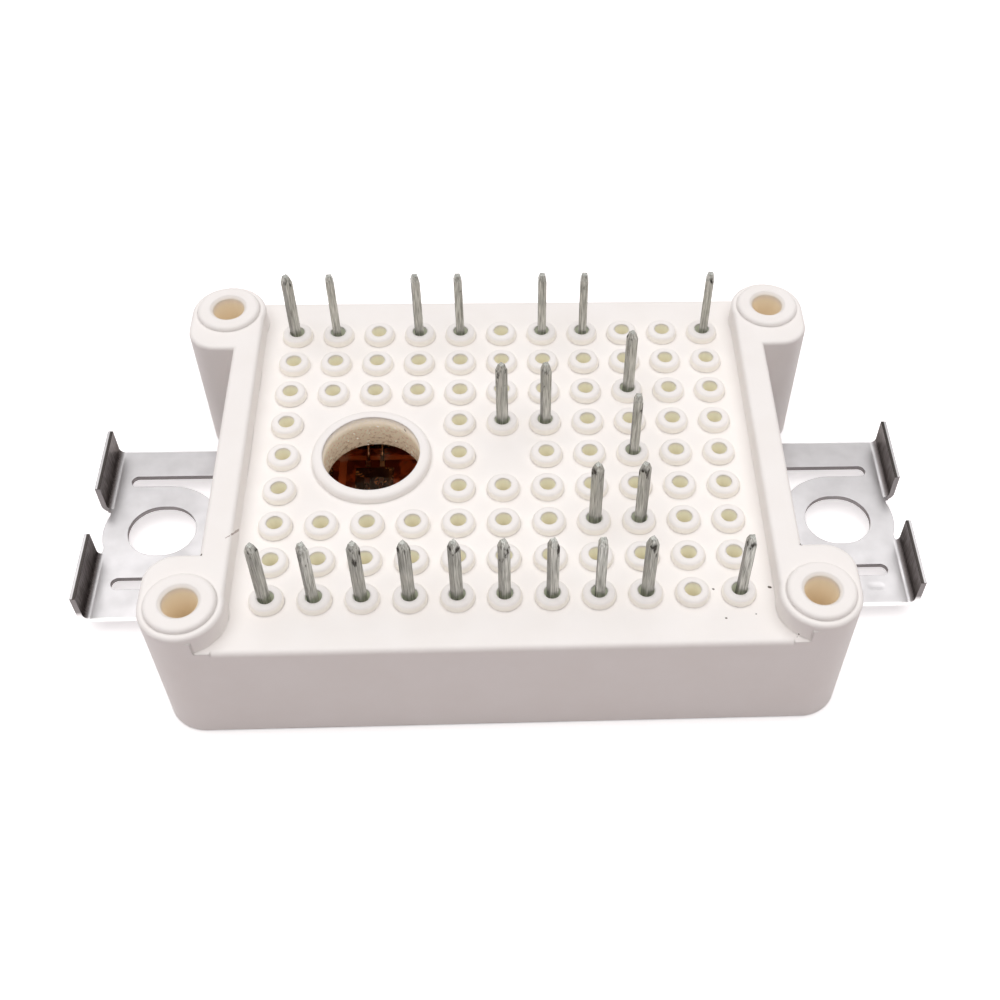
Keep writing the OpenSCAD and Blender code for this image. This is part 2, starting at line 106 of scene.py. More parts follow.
def length(name, description, millimetres):
    return FloatProperty(
        name=name, description=description, default=millimetres * MM,
        min=0.0, precision=6, unit="LENGTH", subtype="DISTANCE",
    )


def share(name, description, value):
    return FloatProperty(
        name=name, description=description, default=value, min=0.0, max=1.0, subtype="FACTOR",
    )


class HousingLook(bpy.types.PropertyGroup):
    """Plastic of the moulded housing"""

    body: colour("Body", "Main colour of the plastic", 0.935, 0.905, 0.875)
    mottle: colour("Mottle", "Faint cloudy tone in the plastic", 0.915, 0.88, 0.845)
    # Painted shade: depth is a tan tone put on the plastic inside the port and the holes, in
    # place of the light they lose and tint
    depth: colour("Depth", "Tone that the plastic takes on inside holes", 0.95, 0.86, 0.7)
    # Painted glow: the colours from here to the port's deep one are given off by the plastic as
    # emission, in place of light that seeps through it
    side: colour("Collar side", "Light that seeps out of the collars' sides", 0.09, 0.08, 0.045)
    collar_hole_glow: colour("Collar hole", "Light that seeps into the collars' holes", 0.125, 0.155, 0.135)
    collar_hole_glow_deep: colour("Collar hole, deep", "The same, further down", 0.043, 0.052, 0.035)
    post: colour("Post hole", "Light that seeps into the posts' holes", 0.1, 0.085, 0.06)
    post_deep: colour("Post hole, deep", "The same, further down", 0.03, 0.016, 0.006)
    port_rim: colour("Port, rim", "Light that seeps into the port's rim", 0.5, 0.46, 0.4)
    port: colour("Port", "Light that seeps into the port", 0.15, 0.125, 0.09)
    port_deep: colour("Port, deep", "The same, further down", 0.045, 0.025, 0.01)
    residue: colour("Residue", "Colour of the gel spots on the port's wall", 0.3, 0.19, 0.11)
    # Painted highlight: small glints given off as emission on the port's wall
    glint_tone: colour("Drop", "Light that drops of gel on the port's wall catch", 0.55, 0.52, 0.47)
    dirt: colour("Dirt", "Colour of the small dark specks", 0.09, 0.07, 0.05)
    scratch: colour("Scratch", "Colour that dirt gives the scratches", 0.42, 0.35, 0.32)
    roughness: share("Roughness", "How dull the moulded surface is", 0.46)
    edge: length("Soft edge", "Radius that edges catch the light with", 0.2)
    grain: length("Grain", "Size of the spark-eroded grain", 0.11)
    grain_depth: length("Grain depth", "Depth of the grain", 0.004)
    flow: length("Flow", "Size of the slow swells in the faces", 5.0)
    flow_depth: length("Flow depth", "Height of the slow swells", 0.012)


class MetalLook(bpy.types.PropertyGroup):
    """Clamps, pins and sleeves"""

    clamp: colour("Clamp", "Colour of the spring steel", 0.67, 0.648, 0.655)
    # Partly painted shade: the sheared edges' own darker tone, made darker still to stand in
    # for the shade on the slots' far walls
    clamp_cut_and_shade: colour("Clamp, cut", "Tone of the sheared edges", 0.22, 0.205, 0.205)
    # Painted highlight: the front and back ends of the arms, low down, turn nearly white
    clamp_highlight: colour("Clamp, rim", "Tone of the rubbed front and back edges", 0.95, 0.94, 0.94)
    # Painted shade: this tone darkens the bends' inner sides and the tabs' top ends; a little
    # of it also gives the sheet its faint haze
    clamp_haze_and_shade: colour("Clamp, drawn", "Tone of the drawn inner bends", 0.075, 0.066, 0.062)
    clamp_roughness: share("Clamp roughness", "How dull the rolled sheet is", 0.36)
    clamp_edge: length("Clamp edge", "Radius that the sheared edges catch the light with", 0.07)
    pin: colour("Pin", "Colour of the tinned wire", 0.66, 0.66, 0.62)
    pin_dull: colour("Pin, worn", "Tone of the drawing marks on the wire", 0.24, 0.24, 0.215)
    # Besides the real stains near the tips, this colour gives the painted shade on the pins'
    # sides where they turn away from the view
    pin_stain_and_shade: colour("Pin, stained", "Colour of the stains near the tips", 0.05, 0.045, 0.038)
    pin_roughness: share("Pin roughness", "How dull the wire is", 0.42)
    pin_edge: length("Pin edge", "Radius of the wire's corners", 0.05)
    sleeve: colour("Sleeve", "Colour of the tinned sleeves", 0.6, 0.57, 0.5)


class InsideLook(bpy.types.PropertyGroup):
    """What shows through the filling port"""

    gel: colour("Gel", "Tint of the silicone gel", 0.95, 0.53, 0.33)
    gel_climb: length("Gel climb", "How far the gel climbs at walls and pins", 0.22)
    gel_climb_reach: length("Gel climb reach", "How far the climb reaches out", 0.45)
    ceramic: colour("Ceramic", "Colour of the fired plate", 0.8, 0.78, 0.74)
    copper: colour("Copper", "Colour of the bonded copper", 0.72, 0.22, 0.08)
    copper_dark: colour("Copper, tarnished", "Tone of the copper's tarnish", 0.12, 0.02, 0.012)
    silicon: colour("Silicon", "Colour of the chips' faces", 0.045, 0.03, 0.032)
    silicon_line: colour("Silicon lines", "Colour of the lines on the chips", 0.2, 0.14, 0.1)
    solder: colour("Solder", "Colour of the flecks of solder on the chips", 1.0, 0.85, 0.55)
    wire: colour("Bond wire", "Colour of the aluminium wires", 0.9, 0.86, 0.78)
    sensor: colour("Sensor", "Colour of the temperature sensor", 0.035, 0.033, 0.032)


class StageLook(bpy.types.PropertyGroup):
    """Floor, light and camera"""

    floor: colour("Floor", "Colour the floor gives the light it sends back", 0.5, 0.44, 0.44)
    floor_seen: colour("Floor, seen", "Colour of the floor where it is seen", 0.95, 0.93, 0.93)
    air: colour("Air", "Tint of the even light from all round", 1.0, 0.92, 0.935)
    floor_lift: FloatProperty(
        name="Floor lift", description="How much the floor is lifted to white where it is seen",
        default=0.4, min=0.0, max=1.0,
    )
    sky: FloatProperty(
        name="Sky", description="Strength of the even light from all round",
        default=0.33, min=0.0,
    )
    mirror_sky: FloatProperty(
        name="Mirrored sky", description="Strength of the even light in metal and gloss",
        default=0.45, min=0.0,
    )
    sun: FloatProperty(
        name="Top light", description="Strength of the soft light from above",
        default=2.1, min=0.0,
    )
    sun_width: FloatProperty(
        name="Top light width", description="How wide the light from above is",
        default=math.radians(75), min=0.0, max=math.pi, unit="ROTATION", subtype="ANGLE",
    )
    lens: FloatProperty(
        name="Lens", description="Focal length of the camera, in millimetres",
        default=47.88, min=1.0,
    )


LOOKS = {
    "module_housing": HousingLook,
    "module_metal": MetalLook,
    "module_inside": InsideLook,
    "module_stage": StageLook,
}


# ---- materials ----

class Shading:
    """One material's nodes, with short calls that add and join them."""

    def __init__(self, name):
        self.material = bpy.data.materials.new(name)
        self.material.use_nodes = True
        self.tree = self.material.node_tree
        self.tree.nodes.clear()
        self.place = self.add("TexCoord").outputs["Object"]

    def add(self, kind, inputs=None, **settings):
        """A node with its settings, and each named input set or joined."""
        made = self.tree.nodes.new("ShaderNode" + kind)
        for name, value in settings.items():
            setattr(made, name, value)
        for name, value in (inputs or {}).items():
            if isinstance(value, bpy.types.NodeSocket):
                self.tree.links.new(value, made.inputs[name])
            else:
                made.inputs[name].default_value = value
        return made

    def noise(self, size, detail=2.0, stretch=(1, 1, 1), shift=(0, 0, 0)):
        """Noise whose lumps measure size, drawn out along the axes that stretch names."""
        scaled = self.add("Mapping", {
            "Vector": self.place,
            "Location": shift,
            "Scale": [1 / (size * s) for s in stretch],
        })
        return self.add("TexNoise", {
            "Vector": scaled.outputs[0], "Scale": 1.0, "Detail": detail,
        }).outputs["Fac"]

    def span(self, value, low, high, to_low=0.0, to_high=1.0):
        """A value carried from one range to another and held inside it."""
        return self.add("MapRange", {
            "Value": value, "From Min": low, "From Max": high,
            "To Min": to_low, "To Max": to_high,
        }).outputs[0]

    def math(self, operation, first, second=0.0):
        return self.add("Math", {0: first, 1: second}, operation=operation).outputs[0]

    def times(self, first, *others):
        """Product of two or more values."""
        for other in others:
            first = self.math("MULTIPLY", first, other)
        return first

    def length(self, across, along):
        """Length of a run that goes so far across and so far along."""
        return self.math("SQRT", self.add("Math", {
            0: across, 1: across, 2: self.times(along, along),
        }, operation="MULTIPLY_ADD").outputs[0])

    def axis(self, name):
        """One coordinate of the place on the object."""
        return self.add("SeparateXYZ", {0: self.place}).outputs[name]

    def blend(self, factor, first, second):
        """A colour between two others."""
        return self.add("Mix", {0: factor, 6: first, 7: second}, data_type="RGBA").outputs[2]

    def from_line(self, start, end):
        """Distance of the place from the straight line between two points."""
        def vector_math(operation, inputs):
            return self.add("VectorMath", inputs, operation=operation).outputs

        start, end = Vector(start) * MM, Vector(end) * MM
        run = end - start
        away = vector_math("SUBTRACT", {0: self.place, 1: start})[0]
        along = vector_math("DOT_PRODUCT", {0: away, 1: run / run.length_squared})["Value"]
        nearest = vector_math("SCALE", {0: run, "Scale": self.span(along, 0.0, 1.0)})[0]
        return vector_math("DISTANCE", {0: away, 1: nearest})["Value"]

    def marks(self, lines):
        """One inside any of the lines' widths, with a ragged edge."""
        ragged = self.span(self.noise(0.06 * MM, 1.0), 0.3, 0.7, -0.35, 0.35)
        inside = 0.0
        for start, end, radius in lines:
            size = self.math("DIVIDE", self.from_line(start, end), radius * MM)
            mark = self.span(self.math("ADD", size, ragged), 1.1, 0.7)
            inside = self.math("MAXIMUM", mark, inside)
        return inside

    def soft_edge(self, radius):
        """Normals that round off the edges."""
        return self.add("Bevel", {"Radius": radius}, samples=2).outputs[0]

    def bump(self, height, depth, normal):
        """Normals pushed about by a height that runs from nothing to depth."""
        return self.add("Bump", {
            "Height": height, "Distance": depth, "Strength": 1.0, "Normal": normal,
        }).outputs[0]

    def surface(self, shader):
        """Ends the material in a shader and gives it out."""
        self.add("OutputMaterial", {"Surface": shader})
        return self.material


def rgba(look_colour):
    return (*look_colour, 1.0)


# Dark specks and a scratch on the housing, in millimetres: the start and the end of
# each line, and its radius
MARKS = [
    ((14.27, -12.4, 9.9), (14.3, -12.42, 9.9), 0.07),
    ((18.16, -12.32, 9.9), (18.24, -12.36, 9.9), 0.1),
    ((14.89, -14.83, 9.9), (14.92, -14.85, 9.9), 0.07),
    ((16.97, -14.55, 9.9), (17.0, -14.55, 9.9), 0.05),
    ((-20.42, -9.95, 11.6), (-20.4, -9.97, 11.6), 0.09),
    ((-7.3, 2.67, 10.0), (-7.22, 2.67, 9.95), 0.13),
    ((22.1, -13.4, 12.0), (22.12, -13.42, 12.0), 0.08),
    ((20.46, -10.0, 11.6), (20.5, -9.75, 11.3), 0.1),
    ((19.5, -16.5, 9.95), (19.75, -16.2, 10.2), 0.06),
]
SCRATCHES = [
    ((-18.9, -8.6, 11.65), (-18.55, -8.3, 11.62), 0.035),
    ((-18.55, -8.3, 11.62), (-18.5, -7.6, 11.0), 0.07),
    ((-18.5, -7.6, 11.0), (-18.47, -6.7, 10.1), 0.1),
]
# A shallow dimple in the right clamp's front arm: the ends of its middle line
DIMPLE = ((28.1, -6.6, 1.8), (28.7, -6.6, 1.8))


def hole_masks(s):
    """How far the place lies inside the port, a post's hole, a collar's hole, and on a
    collar's side."""
    x, y, z = s.axis("X"), s.axis("Y"), s.axis("Z")
    from_port = s.from_line(PORT_LOW, PORT_HIGH)
    tube = s.times(
        s.span(from_port, PORT_RADIUS + 2 * BLUR, PORT_RADIUS + BLUR),
        s.span(z, PORT_RIM + 0.2 * MM, PORT_RIM - 0.4 * MM),
    )
    from_post = s.length(
        s.math("SUBTRACT", s.math("ABSOLUTE", x), POST_X),
        s.math("SUBTRACT", s.math("ABSOLUTE", y), POST_Y),
    )
    post = s.times(
        s.span(from_post, POST_HOLE + 0.04 * MM, POST_HOLE),
        s.span(z, POST_TOP, POST_TOP - 0.8 * MM),
        s.span(z, POST_FLOOR - 2 * BLUR, POST_FLOOR),
    )
    from_grid = s.length(s.math("PINGPONG", x, GRID / 2), s.math("PINGPONG", y, GRID / 2))
    normal = s.add("NewGeometry").outputs["True Normal"]
    facing = s.add("SeparateXYZ", {0: normal}).outputs["Z"]
    port_end = PORT_RADIUS + PORT_MARGIN
    on_grid = s.times(
        s.span(s.math("ABSOLUTE", facing), 0.8, 0.4),
        s.span(from_port, port_end, port_end + BLUR),
        s.span(s.math("ABSOLUTE", x), (GRID_END + 0.1) * GRID, GRID_END * GRID),
    )
    hole = s.times(
        on_grid,
        s.span(from_grid, COLLAR_HOLE + 0.03 * MM, COLLAR_HOLE),
        s.span(z, COLLAR_TOP, COLLAR_TOP - 0.3 * MM),
    )
    side = s.times(
        on_grid,
        s.span(z, COLLAR_FOOT, COLLAR_FOOT + 2 * BLUR),
        s.span(from_grid, COLLAR_HOLE, COLLAR_HOLE + BLUR),
    )
    return tube, post, hole, side


def moulded_plastic(look):
    """Warm off-white plastic with a fine grain, faint clouds and a few dark specks. Its holes
    get a painted tan shade and a painted glow, given off as emission, in place of light seeping
    through it."""
    s = Shading("moulded_plastic")
    z = s.axis("Z")
    clouds = s.span(s.noise(3.2 * MM, 4.0), 0.35, 0.7)
    tone = s.blend(clouds, rgba(look.body), rgba(look.mottle))
    tube, post_hole, collar_hole, collar_side = hole_masks(s)
    # Painted shade: inside the port and the holes the colour turns to the depth tone
    hidden = s.math("MAXIMUM", s.math("MAXIMUM", tube, collar_hole), post_hole)
    plain = s.blend(hidden, rgba(look.body), rgba(look.depth))
    tone = s.blend(hidden, tone, rgba(look.depth))
    low_down = s.span(z, PORT_RIM - 0.6 * MM, PORT_RIM - WIDE_SEEP, 0.25, 0.85)
    spots = s.times(s.span(s.noise(0.22 * MM, 4.0), 0.48, 0.68), low_down, tube)
    tone = s.blend(spots, tone, rgba(look.residue))
    tone = s.blend(s.marks(SCRATCHES), tone, rgba(look.scratch))
    tone = s.blend(s.marks(MARKS), tone, rgba(look.dirt))

    def into(top, reach, near, deep):
        """The painted glow in a hole, from its top to so far down."""
        return s.blend(s.span(z, top, top - reach), rgba(near), rgba(deep))

    # Painted glow, given off as emission, in the holes, on the collars' sides and at the port's
    # rim
    black = (0, 0, 0, 1)
    in_collar = into(COLLAR_TOP, COLLAR_SEEP, look.collar_hole_glow, look.collar_hole_glow_deep)
    in_post = into(POST_TOP, WIDE_SEEP, look.post, look.post_deep)
    in_port = into(PORT_RIM, WIDE_SEEP, look.port, look.port_deep)
    in_port = s.blend(s.span(z, PORT_RIM - 0.9 * MM, PORT_RIM), in_port, rgba(look.port_rim))
    # Painted highlights: small glints given off as emission on the port's wall
    painted_glints = s.times(s.span(s.noise(0.24 * MM, 1.0, shift=(5, 2, 9)), 0.7, 0.74), tube)
    painted_glow = s.blend(collar_side, black, rgba(look.side))
    painted_glow = s.blend(collar_hole, painted_glow, in_collar)
    painted_glow = s.blend(post_hole, painted_glow, in_post)
    painted_glow = s.blend(tube, painted_glow, in_port)
    painted_glow = s.blend(painted_glints, painted_glow, rgba(look.glint_tone))
    normal = s.soft_edge(look.edge)
    normal = s.bump(s.noise(look.flow, 1.0), look.flow_depth, normal)
    grain = s.noise(look.grain, 3.0)
    normal = s.bump(grain, look.grain_depth, normal)
    shader = s.add("BsdfPrincipled", {
        "Base Color": tone,
        "Roughness": s.span(grain, 0.3, 0.7, look.roughness - 0.05, look.roughness + 0.08),
        "IOR": 1.52,
        "Emission Color": painted_glow,
        "Emission Strength": 1.0,
        "Normal": normal,
    })
    # Light that bounces off the plastic needs none of its fine grain
    bounced = s.add("AddShader", {
        0: s.add("BsdfDiffuse", {"Color": plain}).outputs[0],
        1: s.add("Emission", {"Color": painted_glow}).outputs[0],
    })
    seen = s.add("LightPath").outputs["Is Camera Ray"]
    mixed = s.add("MixShader", {0: seen, 1: bounced.outputs[0], 2: shader.outputs[0]})
    return s.surface(mixed.outputs[0])


def spring_steel(look):
    """Rolled sheet, satin along its length, with painted shade on the bends and tabs, painted
    highlights on the arms' ends and dark sheared edges, partly painted shade.
    """
    s = Shading("spring_steel")
    x, y, z = s.axis("X"), s.axis("Y"), s.axis("Z")
    rolling = s.noise(0.05 * MM, 3.0, stretch=(60, 1, 1))
    clouds = s.noise(1.6 * MM, 3.0)
    facing = s.add("SeparateXYZ", {0: s.add("NewGeometry").outputs["Normal"]}).outputs
    side = s.math("SIGN", x)
    height = s.math("SUBTRACT", z, CLAMP_BOTTOM)
    # Painted shade on the bends' inner sides and the tabs, a little lower down on the left
    # clamp
    bend_shade_from = s.math("SUBTRACT", height, s.times(side, 0.1 * MM))
    bend_shade = s.times(
        s.span(bend_shade_from, BEND_LOW, BEND_HIGH),
        s.span(height, 1.4 * MM, 2.8 * MM, 1.0, 0.8),
        s.span(s.times(facing["X"], side), -0.02, -0.3),
        s.span(s.noise(0.12 * MM, 3.0, stretch=(1, 1, 9)), 0.25, 0.75, 0.75, 1.15),
    )
    # Painted shade along the top of each tab's outer end
    crest = s.times(
        s.span(s.math("ABSOLUTE", x), CLAMP_END - 0.16 * MM, CLAMP_END - 0.2 * MM),
        s.span(z, TAB_TOP - 2 * BLUR, TAB_TOP - BLUR),
    )
    bend_shade = s.math("MAXIMUM", bend_shade, crest)
    # Painted highlight on the front and back ends of the arms, low down
    arm_end_highlight = s.times(
        s.span(s.math("ABSOLUTE", y), ARM_END - BLUR, ARM_END),
        s.span(height, 1.2 * MM, 0.6 * MM),
    )
    # The sheared edges: their own darker tone with painted shade on top, except where the
    # painted highlight lies
    edge_on = s.math(
        "MAXIMUM", s.span(height, SHEET + BLUR, SHEET),
        s.span(s.math("ABSOLUTE", facing["Y"]), 0.6, 0.8),
    )
    cut_and_shade = s.times(
        s.span(s.math("ABSOLUTE", facing["Z"]), 0.3, 0.1),
        edge_on, s.math("SUBTRACT", 1.0, arm_end_highlight),
    )
    haze = s.span(clouds, 0.3, 0.7, 0.0, 0.12)
    tone = s.blend(haze, rgba(look.clamp), rgba(look.clamp_haze_and_shade))
    tone = s.blend(cut_and_shade, tone, rgba(look.clamp_cut_and_shade))
    tone = s.blend(arm_end_highlight, tone, rgba(look.clamp_highlight))
    tone = s.blend(bend_shade, tone, rgba(look.clamp_haze_and_shade))
    normal = s.bump(rolling, 0.0016 * MM, s.soft_edge(look.clamp_edge))
    normal = s.bump(s.noise(2.6 * MM, 1.0), 0.008 * MM, normal)
    normal = s.bump(s.span(s.from_line(*DIMPLE), 0.1 * MM, 0.4 * MM), 0.012 * MM, normal)
    shader = s.add("BsdfPrincipled", {
        "Base Color": tone,
        "Metallic": 1.0,
        "Roughness": s.span(
            clouds, 0.3, 0.7, look.clamp_roughness - 0.06, look.clamp_roughness + 0.06,
        ),
        "Anisotropic": 0.35,
        "Specular Tint": (0.62, 0.59, 0.58, 1),
        "Normal": normal,
    })
    return s.surface(shader.outputs[0])


def tinned_wire(look):
    """Dull tin over drawn wire: marks run along it, stains gather towards the tip, and painted
    shade darkens its sides where they turn away from the view.
    """
    s = Shading("tinned_wire")
    z = s.axis("Z")
    lines = s.noise(0.07 * MM, 3.0, stretch=(1, 1, 22))
    patches = s.noise(0.42 * MM, 3.0, stretch=(1, 1, 2.4), shift=(3, 1, 7))
    tone = s.blend(s.span(lines, 0.32, 0.68), rgba(look.pin), rgba(look.pin_dull))
    near_tip = s.times(
        s.span(z, PIN_TOP - 3.2 * MM, PIN_TOP - 0.2 * MM, 0.0, 0.26),
        s.span(s.axis("Y"), 13 * MM, -13 * MM, 0.6, 1.0),
    )
    stain = s.times(
        s.span(s.math("ADD", patches, near_tip), 0.74, 0.84),
        s.span(z, PIN_TOP - 0.2 * MM, PIN_TOP - 0.5 * MM),
    )
    tone = s.blend(stain, tone, rgba(look.pin_stain_and_shade))
    rounded = s.soft_edge(look.pin_edge)
    away = s.add("LayerWeight", {"Blend": 0.5, "Normal": rounded}).outputs["Facing"]
    # Painted shade: the pin's sides take the stain colour where they turn away from the view
    edges = s.times(
        s.span(away, 0.5, 0.9, 0.0, 0.75),
        s.span(z, PIN_TOP - 0.5 * MM, PIN_TOP - 0.8 * MM),
    )
    tone = s.blend(edges, tone, rgba(look.pin_stain_and_shade))
    normal = s.bump(lines, 0.006 * MM, rounded)
    normal = s.bump(patches, 0.02 * MM, normal)
    shader = s.add("BsdfPrincipled", {
        "Base Color": tone,
        "Metallic": 0.85,
        "Roughness": s.span(
            patches, 0.3, 0.7, look.pin_roughness - 0.08, look.pin_roughness + 0.14,
        ),
        "Normal": normal,
    })
    return s.surface(shader.outputs[0])


def tinned_sleeve(look):
    """Turned sleeve with rings left by the tool."""
    s = Shading("tinned_sleeve")
    rings = s.noise(0.08 * MM, 2.0, stretch=(14, 14, 1))
    tone = s.blend(s.span(rings, 0.3, 0.7, 0.0, 0.6), rgba(look.sleeve), rgba(look.pin_dull))
    shader = s.add("BsdfPrincipled", {
        "Base Color": tone,
        "Metallic": 0.9,
        "Roughness": s.span(rings, 0.3, 0.7, 0.28, 0.45),
        "Normal": s.bump(rings, 0.004 * MM, s.soft_edge(0.04 * MM)),
    })
    return s.surface(shader.outputs[0])


def fired_ceramic(look):
    """Matt alumina with a fine sintered grain."""
    s = Shading("fired_ceramic")
    grain = s.noise(0.05 * MM, 3.0)
    tone = s.blend(s.span(s.noise(1.2 * MM, 3.0), 0.3, 0.7, 0.0, 0.5),
                   rgba(look.ceramic), rgba([0.9 * c for c in look.ceramic]))
    shader = s.add("BsdfPrincipled", {
        "Base Color": tone,
        "Roughness": s.span(grain, 0.3, 0.7, 0.5, 0.68),
        "Normal": s.bump(grain, 0.003 * MM, s.soft_edge(0.04 * MM)),
    })
    return s.surface(shader.outputs[0])


def bonded_copper(look, name, tarnished):
    """Copper sheet with coarse crystal patches and a share of it tarnished."""
    s = Shading(name)
    crystals = s.add("TexVoronoi", {"Vector": s.place, "Scale": 1 / (0.5 * MM)})
    crystal = s.add("SeparateColor", {0: crystals.outputs["Color"]}).outputs[0]
    tarnish = s.span(s.noise(1.5 * MM, 3.0), tarnished, tarnished - 0.1)
    tone = s.blend(s.times(crystal, 0.35), rgba(look.copper), rgba(look.copper_dark))
    tone = s.blend(s.times(tarnish, 0.85), tone, rgba(look.copper_dark))
    shader = s.add("BsdfPrincipled", {
        "Base Color": tone,
        "Metallic": 0.8,
        "Roughness": s.span(crystal, 0.0, 1.0, 0.34, 0.5),
        "Normal": s.bump(s.noise(0.09 * MM, 2.0), 0.004 * MM, s.soft_edge(0.06 * MM)),
    })
    return s.surface(shader.outputs[0])


def chip_face(look, name, line_gap):
    """Dark polished silicon crossed by fine lighter lines."""
    s = Shading(name)
    across = s.math("PINGPONG", s.axis("X"), line_gap)
    line = s.span(across, 0.12 * line_gap, 0.06 * line_gap)
    haze = s.span(s.noise(0.7 * MM, 3.0), 0.35, 0.7, 0.0, 0.35)
    flecks = s.times(
        s.span(s.noise(0.2 * MM, 3.0), 0.5, 0.56), s.span(s.noise(1.1 * MM, 1.0), 0.5, 0.56),
    )
    lit = s.math("MAXIMUM", line, haze)
    tone = s.blend(lit, rgba(look.silicon), rgba(look.silicon_line))
    tone = s.blend(flecks, tone, rgba(look.solder))
    shader = s.add("BsdfPrincipled", {
        "Base Color": tone,
        "Metallic": 0.75,
        "Roughness": s.span(haze, 0.0, 0.35, 0.16, 0.3),
        "Normal": s.bump(line, 0.004 * MM, s.soft_edge(0.03 * MM)),
    })
    return s.surface(shader.outputs[0])


def sensor_body(look, centre_x, half_body):
    """Black sintered body with bright soldered ends."""
    s = Shading("sensor_body")
    reach = s.math("ABSOLUTE", s.math("SUBTRACT", s.axis("X"), centre_x))
    cap = s.span(reach, half_body, half_body + 0.04 * MM)
    grain = s.noise(0.06 * MM, 3.0)
    tone = s.blend(s.span(grain, 0.3, 0.7, 0.0, 0.3), rgba(look.sensor), rgba(look.silicon))
    tone = s.blend(cap, tone, rgba(look.wire))
    shader = s.add("BsdfPrincipled", {
        "Base Color": tone,
        "Metallic": cap,
        "Roughness": s.span(grain, 0.3, 0.7, 0.32, 0.5),
        "Normal": s.bump(grain, 0.003 * MM, s.soft_edge(0.05 * MM)),
    })
    return s.surface(shader.outputs[0])


def bond_aluminium(look):
    """Soft drawn aluminium wire."""
    s = Shading("bond_aluminium")
    marks = s.noise(0.06 * MM, 2.0)
    tone = s.blend(s.span(marks, 0.3, 0.7, 0.0, 0.4), rgba(look.wire),
                   rgba([0.75 * c for c in look.wire]))
    shader = s.add("BsdfPrincipled", {
        "Base Color": tone,
        "Metallic": 1.0,
        "Roughness": s.span(marks, 0.3, 0.7, 0.12, 0.22),
        "Normal": s.bump(marks, 0.003 * MM, s.soft_edge(0.02 * MM)),
    })
    return s.surface(shader.outputs[0])


def silicone_gel(look):
    """Clear amber gel that bends what is seen in it and lets lamps through."""
    s = Shading("silicone_gel")
    ripple = s.noise(2.4 * MM, 2.0)
    glass = s.add("BsdfPrincipled", {
        "Base Color": rgba(look.gel),
        "Roughness": 0.03,
        "IOR": 1.41,
        "Specular IOR Level": 0.2,
        "Transmission Weight": 1.0,
        "Normal": s.bump(ripple, 0.02 * MM, s.add("NewGeometry").outputs["Normal"]),
    })
    through = s.add("BsdfTransparent", {"Color": rgba(look.gel)})
    path = s.add("LightPath").outputs
    lamp = s.math("MAXIMUM", path["Is Shadow Ray"], path["Is Diffuse Ray"])
    mixed = s.add("MixShader", {0: lamp, 1: glass.outputs[0], 2: through.outputs[0]})
    return s.surface(mixed.outputs[0])


def studio_floor(look):
    """Pale matt floor, lifted towards white where the camera or a mirror sees it. It
    keeps the shadows of the object."""
    s = Shading("studio_floor")
    path = s.add("LightPath").outputs
    seen = s.math("MAXIMUM", path["Is Camera Ray"], path["Is Glossy Ray"])
    seen = s.math("MAXIMUM", seen, path["Is Transmission Ray"])
    matt = s.add("BsdfDiffuse", {
        "Color": s.blend(seen, rgba(look.floor), rgba(look.floor_seen)),
    })
    lift = s.add("Emission", {
        "Color": (1, 1, 1, 1), "Strength": s.times(seen, look.floor_lift),
    })
    both = s.add("AddShader", {0: matt.outputs[0], 1: lift.outputs[0]})
    return s.surface(both.outputs[0])


# ---- pieces ----

def dress(node_name, material):
    """Gives a CAD node its finish."""
    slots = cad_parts[node_name].data.materials
    slots.clear()
    slots.append(material)


def gel_height(x, y, pin_places, look):
    """Height of the gel's surface, which climbs at the walls and round each pin."""
    to_wall = min(GEL_HIGH.x - x, x - GEL_LOW.x, GEL_HIGH.y - y, y - GEL_LOW.y)
    to_pin = min(math.hypot(x - px, y - py) for px, py in pin_places)
    wall = math.exp(-to_wall / look.gel_climb_reach)
    pin = 0.7 * math.exp(-max(0.0, to_pin - PIN_REACH) / look.gel_climb_reach)
    return GEL_HIGH.z + look.gel_climb * (max(wall, pin) - 0.25)


def gel_mesh(look):
    """A closed block whose top is a fine grid and whose sides stand just off the walls."""
    gap = Vector((GEL_GAP, GEL_GAP))
    low, high = GEL_LOW.to_2d() + gap, GEL_HIGH.to_2d() - gap
    columns = round((high.x - low.x) / GEL_STEP)
    rows = round((high.y - low.y) / GEL_STEP)
    pin_places = [((a.x + b.x) / 2, (a.y + b.y) / 2) for a, b in map(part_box, PINS)]
    bm = bmesh.new()
    grid = []
    for row in range(rows + 1):
        y = low.y + (high.y - low.y) * row / rows
        line = []
        for column in range(columns + 1):
            x = low.x + (high.x - low.x) * column / columns
            line.append(bm.verts.new((x, y, gel_height(x, y, pin_places, look))))
        grid.append(line)
    for row in range(rows):
        for column in range(columns):
            bm.faces.new((
                grid[row][column], grid[row][column + 1],
                grid[row + 1][column + 1], grid[row + 1][column],
            ))
    rim = grid[0][:-1] + [line[-1] for line in grid[:-1]]
    rim += grid[-1][:0:-1] + [line[0] for line in grid[:0:-1]]
    foot_z = GEL_LOW.z + GEL_GAP
    foot = [bm.verts.new((v.co.x, v.co.y, foot_z)) for v in rim]
    for i, top in enumerate(rim):
        after = (i + 1) % len(rim)
        bm.faces.new((top, foot[i], foot[after], rim[after]))
    bm.faces.new(foot[::-1])
    bmesh.ops.recalc_face_normals(bm, faces=bm.faces)
    mesh = bpy.data.meshes.new("gel_fill")
    bm.to_mesh(mesh)
    bm.free()
    for face in mesh.polygons:
        face.use_smooth = len(face.vertices) == 4 and abs(face.normal.z) > 0.5
    return mesh


def new_piece(name, mesh, material):
    piece = bpy.data.objects.new(name, mesh)
    piece.data.materials.append(material)
    bpy.context.scene.collection.objects.link(piece)
    return piece


# ---- operators ----

